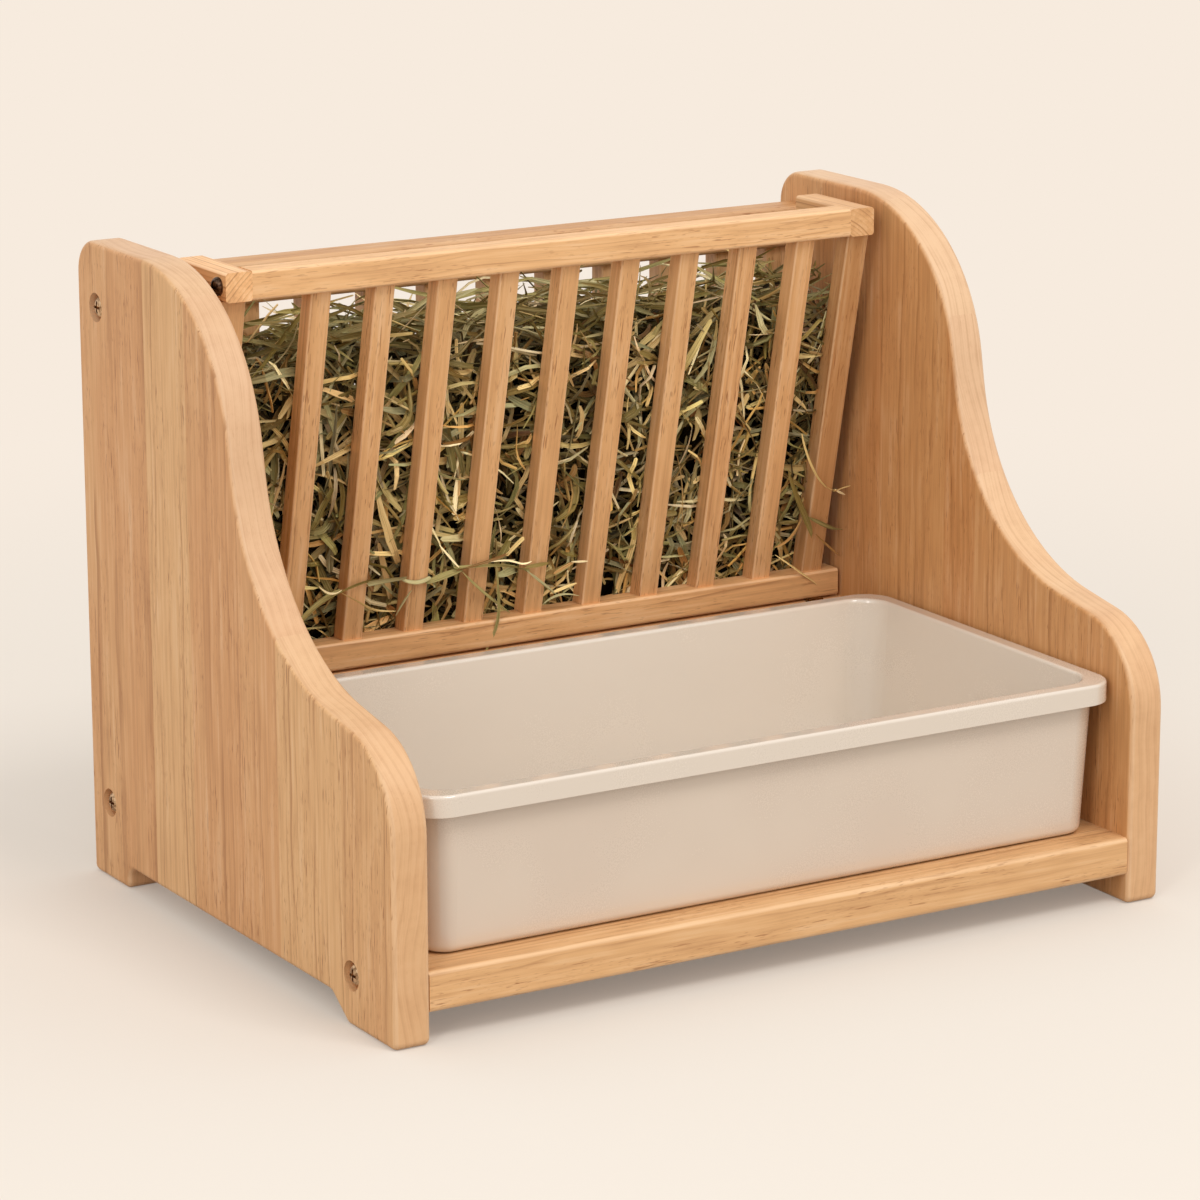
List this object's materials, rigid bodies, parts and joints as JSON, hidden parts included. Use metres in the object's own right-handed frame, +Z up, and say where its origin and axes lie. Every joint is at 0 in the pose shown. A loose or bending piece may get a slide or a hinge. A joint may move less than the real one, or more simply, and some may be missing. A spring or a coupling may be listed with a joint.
{
  "type": "hay feeder box",
  "caption": "Free-standing pine hay feeder: shaped side panels carry a forward-tilting slatted hay rack over a pull-out feed tray.",
  "frame": {"origin": "on the floor, under the middle of the box", "axes": "+X to the right-hand panel, +Y to the back, +Z up"},
  "size_m": [0.4, 0.297, 0.302],
  "materials": {
    "pine_panel": "edge-glued light pine, fine straight grain, thin satin lacquer",
    "pine_board": "light pine with open grain, thin satin lacquer",
    "pine_slat": "light pine laths with short dark flecks, thin satin lacquer",
    "tray_plastic": "warm grey-beige moulded plastic, soft satin",
    "hay": "dried grass in grey-green and straw colours",
    "zinc_screw": "yellow-zinc plated steel",
    "dark_steel": "black-oxide steel",
    "brass": "dull brass"
  },
  "bodies": {
    "root": {"back_bottom_rail": "pine_slat", "back_post_left": "pine_slat", "back_post_right": "pine_slat", "back_slat_1": "pine_slat", "back_slat_2": "pine_slat", "back_slat_3": "pine_slat", "back_slat_4": "pine_slat", "back_slat_5": "pine_slat", "back_slat_6": "pine_slat", "back_slat_7": "pine_slat", "back_slat_8": "pine_slat", "back_slat_9": "pine_slat", "back_top_rail": "pine_slat", "front_rail": "pine_board", "hay_fill": "hay", "hinge_fixed_leaf_left": "brass", "hinge_fixed_leaf_right": "brass", "hinge_pin_left": "brass", "hinge_pin_right": "brass", "left_panel": "pine_panel", "left_panel_screws": "zinc_screw", "rack_sill": "pine_slat", "right_panel": "pine_panel", "right_panel_screws": "zinc_screw", "tray_support_rail": "pine_board"},
    "rack": {"arm_screws": "dark_steel", "hinge_moving_leaf_left": "brass", "hinge_moving_leaf_right": "brass", "rack_arm_left": "pine_slat", "rack_arm_right": "pine_slat", "rack_bottom_rail": "pine_slat", "rack_post_left": "pine_slat", "rack_post_right": "pine_slat", "rack_slat_1": "pine_slat", "rack_slat_2": "pine_slat", "rack_slat_3": "pine_slat", "rack_slat_4": "pine_slat", "rack_slat_5": "pine_slat", "rack_slat_6": "pine_slat", "rack_slat_7": "pine_slat", "rack_slat_8": "pine_slat", "rack_slat_9": "pine_slat", "rack_top_rail": "pine_slat"},
    "tray": {"tray": "tray_plastic"}
  },
  "joints": [
    {"name": "rack_tilt", "type": "hinge", "parent": "root", "child": "rack", "pos_m": [0, 0.0892, 0.0932], "axis": [1, 0, 0], "range_deg": [0, 50]},
    {"name": "tray_slide", "type": "slide", "parent": "root", "child": "tray", "axis": [0, -1, 0], "range_m": [0, 0.21]}
  ]
}
